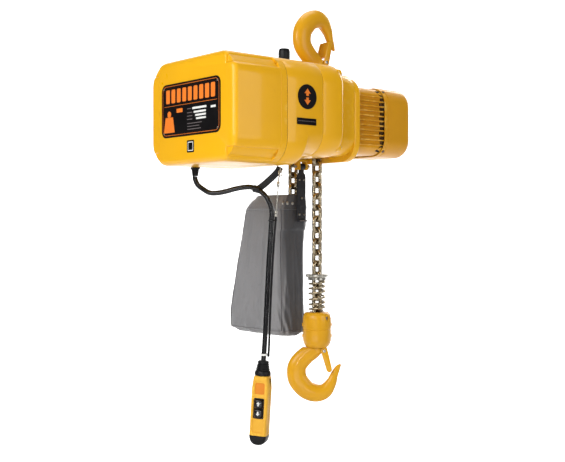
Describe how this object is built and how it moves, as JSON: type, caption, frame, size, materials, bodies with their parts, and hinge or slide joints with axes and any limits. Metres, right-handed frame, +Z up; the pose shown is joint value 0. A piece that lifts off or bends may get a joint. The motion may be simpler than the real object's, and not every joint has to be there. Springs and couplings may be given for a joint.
{
  "type": "electric chain hoist",
  "caption": "Hook-suspended electric chain hoist with finned motor, load chain, swivel bottom hook, fabric chain bag and two-button pendant.",
  "frame": {"origin": "saddle of the top hook, where the hoist rests on its beam clamp, eye or trolley pin", "axes": "+Z up, +X from the controller cover to the motor, +Y to the chain bag side"},
  "size_m": [0.6953, 0.5325, 1.1295],
  "materials": {
    "yellow_paint": "semi-gloss",
    "cast_yellow": "satin",
    "hook_yellow": "satin",
    "label": "gloss",
    "pendant_yellow": "satin",
    "rubber": "matte",
    "chain_steel": "worn",
    "bright_steel": "satin",
    "bag_fabric": "coated weave",
    "strap_grey": "matte",
    "copper": "satin",
    "iron": "matte",
    "grey_plastic": "matte"
  },
  "bodies": {
    "suspension": {"top_hook": "hook_yellow", "top_latch_pin": "bright_steel", "top_hook_nut": "bright_steel", "top_hook_bearing": "bright_steel"},
    "upper_latch": {"top_latch": "hook_yellow"},
    "sheave_set": {"load_sheave": "chain_steel", "sheave_shaft": "bright_steel", "load_gear": "chain_steel"},
    "idle_set": {"idle_shaft": "bright_steel", "idle_gear": "chain_steel", "idle_pinion": "chain_steel"},
    "motor_set": {"motor_shaft": "bright_steel", "rotor": "iron", "brake_disc": "iron", "cooling_fan": "grey_plastic"},
    "hook_set": {"hook_block": "hook_yellow", "chain_pin": "bright_steel", "load_chain": "chain_steel", "hook_thrust_bearing": "bright_steel", "limit_spring": "bright_steel"},
    "limit_plate": {"limit_flange": "bright_steel"},
    "lower_hook": {"bottom_hook": "hook_yellow", "bottom_latch_pin": "bright_steel", "hook_nut": "bright_steel"},
    "lower_latch": {"bottom_latch": "hook_yellow"},
    "up_key": {"up_button": "rubber"},
    "down_key": {"down_button": "rubber"},
    "hoist": {"controller_cover": "yellow_paint", "gear_case": "yellow_paint", "main_case": "yellow_paint", "centre_case": "yellow_paint", "motor_flange": "yellow_paint", "motor_housing": "cast_yellow", "fan_cover": "cast_yellow", "bag_bracket": "hook_yellow", "name_plate": "label", "side_badge": "label", "side_label": "label", "contactor_up": "label", "contactor_down": "label", "pendant_case": "pendant_yellow", "pendant_cable": "rubber", "pendant_boot": "rubber", "cable_gland": "rubber", "breather_cap": "rubber", "no_load_chain": "chain_steel", "motor_bearing": "bright_steel", "sheave_bearing_left": "bright_steel", "sheave_bearing_right": "bright_steel", "bag_pin": "bright_steel", "control_plate": "bright_steel", "strain_wire": "bright_steel", "chain_bag": "bag_fabric", "bag_hanger": "strap_grey", "stator_winding": "copper", "brake_coil": "copper", "transformer": "copper", "stator": "iron", "chain_guide": "iron", "terminal_strip": "grey_plastic"}
  },
  "joints": [
    {"name": "hoist_swivel", "type": "hinge", "parent": "suspension", "child": "hoist", "pos_m": [0, 0, -0.157], "axis": [0, 0, 1], "continuous": true},
    {"name": "top_latch_hinge", "type": "hinge", "parent": "suspension", "child": "upper_latch", "pos_m": [0.019, 0, -0.0915], "axis": [0, -1, 0], "range_deg": [0, 32], "stiffness_Nm_per_rad": 0.12, "springref_deg": -17.19},
    {"name": "motor_spin", "type": "hinge", "parent": "hoist", "child": "motor_set", "pos_m": [0.1, 0, -0.246], "axis": [-1, 0, 0], "range_deg": [0, 3503.56]},
    {"name": "idle_spin", "type": "hinge", "parent": "hoist", "child": "idle_set", "pos_m": [-0.14, 0.06415, -0.21329], "axis": [1, 0, 0], "continuous": true},
    {"name": "sheave_spin", "type": "hinge", "parent": "hoist", "child": "sheave_set", "pos_m": [0, 0.05, -0.29], "axis": [-1, 0, 0], "continuous": true},
    {"name": "hook_travel", "type": "slide", "parent": "hoist", "child": "hook_set", "axis": [0, 0, 1], "range_m": [0, 0.2855], "deforming": ["load_chain"]},
    {"name": "limit_press", "type": "slide", "parent": "hook_set", "child": "limit_plate", "axis": [0, 0, -1], "range_m": [0, 0.05], "stiffness_N_per_m": 8000, "deforming": ["limit_spring"]},
    {"name": "bottom_hook_swivel", "type": "hinge", "parent": "hook_set", "child": "lower_hook", "pos_m": [0, 0, -0.84], "axis": [0, 0, 1], "continuous": true},
    {"name": "bottom_latch_hinge", "type": "hinge", "parent": "lower_hook", "child": "lower_latch", "pos_m": [0.01449, -0.01229, -0.8655], "axis": [0.6468, 0.7627, 0], "range_deg": [0, 32], "stiffness_Nm_per_rad": 0.12, "springref_deg": -17.19},
    {"name": "up_button_press", "type": "slide", "parent": "hoist", "child": "up_key", "axis": [0.8317, 0.555, -0.0154], "range_m": [0, 0.004], "stiffness_N_per_m": 900},
    {"name": "down_button_press", "type": "slide", "parent": "hoist", "child": "down_key", "axis": [0.8317, 0.555, -0.0154], "range_m": [0, 0.004], "stiffness_N_per_m": 900}
  ],
  "couplings": [
    {"joint": "idle_spin", "follows": "motor_spin", "ratio": 0.24138},
    {"joint": "sheave_spin", "follows": "motor_spin", "ratio": 0.094828},
    {"joint": "hook_travel", "follows": "motor_spin", "m_per_rad": 0.0046608}
  ]
}
